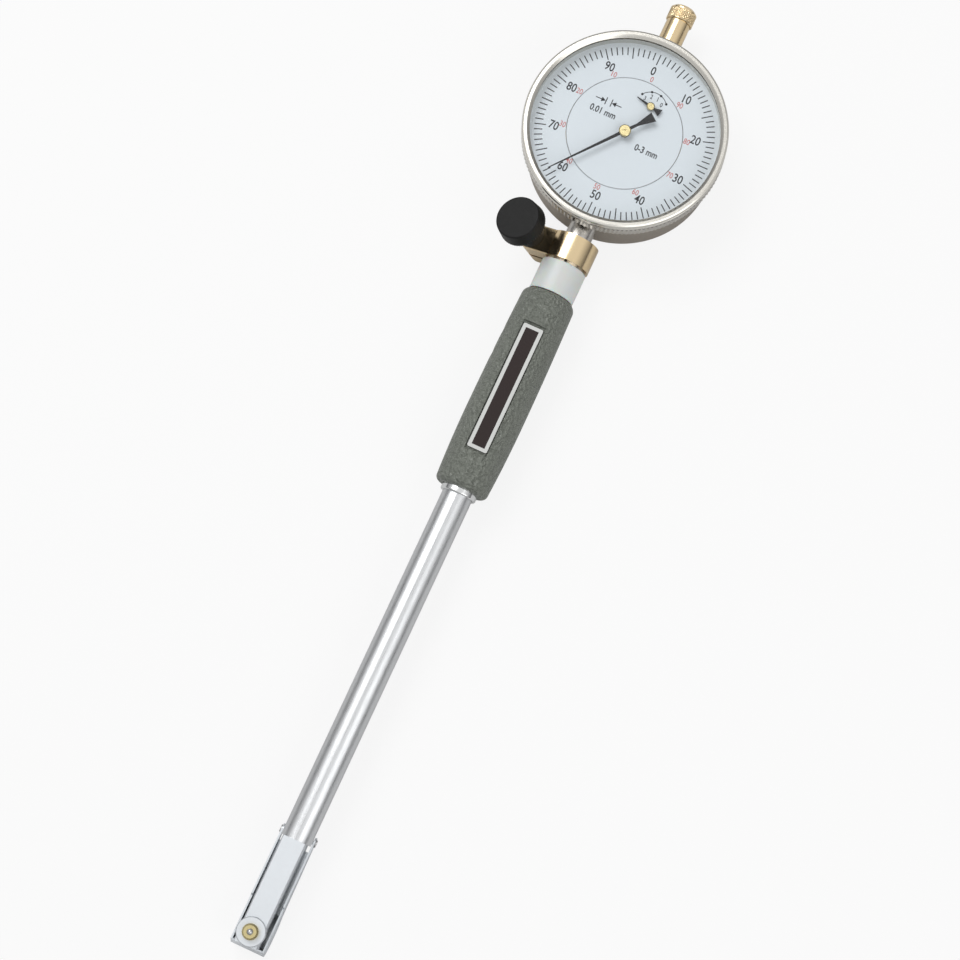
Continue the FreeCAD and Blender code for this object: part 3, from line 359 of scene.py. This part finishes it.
counter = dict(centre=(3.69, 10.3), radius=4.7, digit=3.2, digitHeight=1.35, dot=0.38)
units = dict(step=(-8.4, 3.4), stepWords="0.01 mm", span=(8.0, -2.6), spanWords="0-3 mm",
             height=2.0, arrow=(-8.0, 6.8), barApart=0.85, bar=(2.3, 0.28), shaft=(2.6, 0.26),
             shaftOut=1.9, headSize=0.85, headOut=1.0)
bm = bmesh.new()
for number, degrees in enumerate((54, 18, -18, -54)):
    turn = math.radians(degrees)
    dot = bmesh.ops.create_cone(bm, cap_ends=True, segments=12, radius1=counter["dot"] * mm,
                                radius2=counter["dot"] * mm, depth=ink * mm)["verts"]
    spot = onCircle(counter["radius"], turn, counter["centre"])
    bmesh.ops.translate(bm, verts=dot, vec=(spot[0] * mm, spot[1] * mm, ink * mm / 2))
    addText(bm, str(number), counter["digitHeight"],
            onCircle(counter["digit"], turn, counter["centre"]), weight=0.02)
arcBars = 36                                # short bars that make the arc
for i in range(arcBars):
    turn = math.radians(-54 + 108 * (i + 0.5) / arcBars)
    addBar(bm, 2 * counter["radius"] * math.sin(math.radians(54 / arcBars)) * 1.05, 0.2,
           onCircle(counter["radius"], turn, counter["centre"]), turn + math.pi / 2)
addText(bm, units["stepWords"], units["height"], units["step"])
addText(bm, units["spanWords"], units["height"], units["span"])
for side in (-1, 1):                       # two arrows that face a pair of bars
    barX = units["arrow"][0] + side * units["barApart"]
    arrowY = units["arrow"][1]
    addBar(bm, *units["bar"], (barX, arrowY), 0)
    addBar(bm, *units["shaft"], (barX + side * units["shaftOut"], arrowY), math.pi / 2)
    head = bmesh.ops.create_cone(bm, cap_ends=True, segments=3,
                                 radius1=units["headSize"] * mm,
                                 radius2=units["headSize"] * mm, depth=ink * mm)["verts"]
    bmesh.ops.rotate(bm, verts=head, cent=(0, 0, 0),
                     matrix=Matrix.Rotation(side * math.pi / 2, 3, "Z"))
    bmesh.ops.translate(bm, verts=head, vec=((barX + side * units["headOut"]) * mm,
                                             arrowY * mm, ink * mm / 2))
finishPrint("centreMarks", bm, "print_dark", "indicator")

ring = dict(radius=17.0, width=0.16)       # line round the edge of the fixed dial
ringProfile = [(ring["radius"] - ring["width"], 0), (ring["radius"], 0),
               (ring["radius"], ink), (ring["radius"] - ring["width"], ink),
               (ring["radius"] - ring["width"], 0)]
finishPrint("centreLine", spunProfile(ringProfile, up, 128), "print_grey", "indicator")
print("fixed dial: counter scale, units and edge line")


# ---- brass hub caps, pressed on the pointers with a small centre hole
hubs = {"mainHub": dict(node="main_pointer", body="centre_arbor", place=(0, 0), radius=1.75),
        "counterHub": dict(node="counter_pointer", body="counter_arbor",
                           place=counter["centre"], radius=1.15)}
for name, hub in hubs.items():
    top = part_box(hub["node"])[1].z / mm
    edge = hub["radius"]
    bm = spunProfile([(0, top + 0.02), (0.22, top + 0.02), (0.3, top + 0.14),
                      (edge - 0.25, top + 0.14), (edge + 0.03, top - 0.05),
                      (edge + 0.03, top - 0.5), (0, top - 0.5)], up, 32)
    bmesh.ops.translate(bm, verts=bm.verts, vec=(dialCentre.x + hub["place"][0] * mm,
                                                 dialCentre.y + hub["place"][1] * mm, 0))
    makePiece(name, bm, "anvil_brass", hub["body"])
print("hub caps")


# ---- pale border printed round the dark strip on the grip
strip = dict(border=1.05, corner=0.5, ink=0.04)
stripLow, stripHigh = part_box("grip_plate")
bm = bmesh.new()
grid = bmesh.ops.create_grid(bm, x_segments=1, y_segments=1, size=0.5)["verts"]
bmesh.ops.scale(bm, verts=grid, vec=(stripHigh.x - stripLow.x - 0.1 * mm,
                                     stripHigh.y - stripLow.y - 0.1 * mm, 1))
field = bm.faces[:]
bmesh.ops.inset_region(bm, faces=field, thickness=strip["border"] * mm, depth=0,
                       use_boundary=True, use_even_offset=True)
bmesh.ops.delete(bm, geom=field, context="FACES_ONLY")
raised = bmesh.ops.extrude_face_region(bm, geom=bm.faces[:])
raisedVerts = [g for g in raised["geom"] if isinstance(g, bmesh.types.BMVert)]
bmesh.ops.translate(bm, verts=raisedVerts, vec=(0, 0, strip["ink"] * mm))
halfWidth = (stripHigh.x - stripLow.x) / 2 - 0.1 * mm
uprights = [e for e in bm.edges if abs(e.verts[0].co.z - e.verts[1].co.z) > 1e-6
            and abs(e.verts[0].co.x) > halfWidth]
bmesh.ops.bevel(bm, geom=uprights, offset=strip["corner"] * mm, affect="EDGES", segments=4,
                profile=0.5, material=-1)
bmesh.ops.recalc_face_normals(bm, faces=bm.faces)
bmesh.ops.translate(bm, verts=bm.verts, vec=((stripLow.x + stripHigh.x) / 2,
                                             (stripLow.y + stripHigh.y) / 2, stripHigh.z))
makePiece("stripBorder", bm, "border_white", "gauge_body")


# ---- studio: white floor, soft light, camera over the gauge
floorMesh = bmesh.new()
bmesh.ops.create_grid(floorMesh, x_segments=1, y_segments=1, size=3)
floorData = bpy.data.meshes.new("floor")
floorMesh.to_mesh(floorData)
floorMesh.free()
floor = bpy.data.objects.new("floor", floorData)
bpy.context.scene.collection.objects.link(floor)
floorFinish, nodes, links, floorShader = newFinish("paleFloor")
floorShader.inputs["Base Color"].default_value = (0.86, 0.86, 0.86, 1)
floorShader.inputs["Roughness"].default_value = 0.8
glow = nodes.new("ShaderNodeEmission")
glow.inputs["Color"].default_value = (1, 1, 1, 1)
seen = nodes.new("ShaderNodeLightPath")
share = nodes.new("ShaderNodeMath")
share.operation = "MULTIPLY"
share.inputs[1].default_value = 0.85
blendShader = nodes.new("ShaderNodeMixShader")
links.new(seen.outputs["Is Camera Ray"], share.inputs[0])
links.new(share.outputs[0], blendShader.inputs["Fac"])
links.new(floorShader.outputs[0], blendShader.inputs[1])
links.new(glow.outputs[0], blendShader.inputs[2])
links.new(blendShader.outputs[0], nodes["Material Output"].inputs["Surface"])
floorData.materials.append(floorFinish)

# The room: grey light on the gauge, and a bright ceiling with darker sides in its metal
world = bpy.data.worlds.new("room")
bpy.context.scene.world = world
world.use_nodes = True
nodes = world.node_tree.nodes
links = world.node_tree.links
room = nodes["Background"]
coords = nodes.new("ShaderNodeTexCoord")
axes = nodes.new("ShaderNodeSeparateXYZ")
shade = nodes.new("ShaderNodeValToRGB")
shade.color_ramp.elements[0].position = 0.05
shade.color_ramp.elements[0].color = (0.12, 0.12, 0.125, 1)
shade.color_ramp.elements[1].position = 0.75
shade.color_ramp.elements[1].color = (0.95, 0.95, 0.95, 1)
path = nodes.new("ShaderNodeLightPath")
pick = nodes.new("ShaderNodeMix")
pick.data_type = "RGBA"
pick.inputs["A"].default_value = (0.42, 0.42, 0.42, 1)
links.new(coords.outputs["Generated"], axes.inputs[0])
links.new(axes.outputs["Z"], shade.inputs[0])
links.new(shade.outputs[0], pick.inputs["B"])
links.new(path.outputs["Is Glossy Ray"], pick.inputs["Factor"])
backdrop = nodes.new("ShaderNodeMix")       # what is seen past the floor is white
backdrop.data_type = "RGBA"
backdrop.inputs["B"].default_value = (1, 1, 1, 1)
links.new(pick.outputs["Result"], backdrop.inputs["A"])
links.new(path.outputs["Is Camera Ray"], backdrop.inputs["Factor"])
links.new(backdrop.outputs["Result"], room.inputs["Color"])
room.inputs["Strength"].default_value = 1.0

lamps = {"key": dict(place=(-0.5, 0.35, 0.9), size=0.6, power=4.6),
         "fill": dict(place=(0.7, -0.3, 0.8), size=0.8, power=2.6)}
for name, lamp in lamps.items():
    light = bpy.data.lights.new(name, "AREA")
    light.shape = "SQUARE"
    light.size = lamp["size"]
    light.energy = lamp["power"]
    holder = bpy.data.objects.new(name, light)
    holder.location = lamp["place"]
    holder.rotation_euler = (-Vector(lamp["place"])).to_track_quat("-Z", "Y").to_euler()
    bpy.context.scene.collection.objects.link(holder)

shot = dict(turn=Vector((-0.183585, -0.044588, -0.429006)), reach=Vector((42.0, 99.25, -700.0)),
            focal=2381.5, frameWidth=960, sensor=36.0, axisHeight=11.0)
turned = Matrix.Rotation(shot["turn"].length, 3, shot["turn"].normalized())
spot = -(turned.transposed() @ shot["reach"]) * mm
camera = bpy.data.objects.new("camera", bpy.data.cameras.new("camera"))
camera.data.sensor_width = shot["sensor"]
camera.data.lens = shot["focal"] * shot["sensor"] / shot["frameWidth"]
camera.data.clip_start = 0.01
camera.matrix_world = turned.transposed().to_4x4()
camera.location = spot + Vector((dialCentre.x, dialCentre.y, shot["axisHeight"] * mm))
bpy.context.scene.collection.objects.link(camera)
bpy.context.scene.camera = camera
bpy.context.scene.view_settings.view_transform = "Standard"
print("studio and camera set")
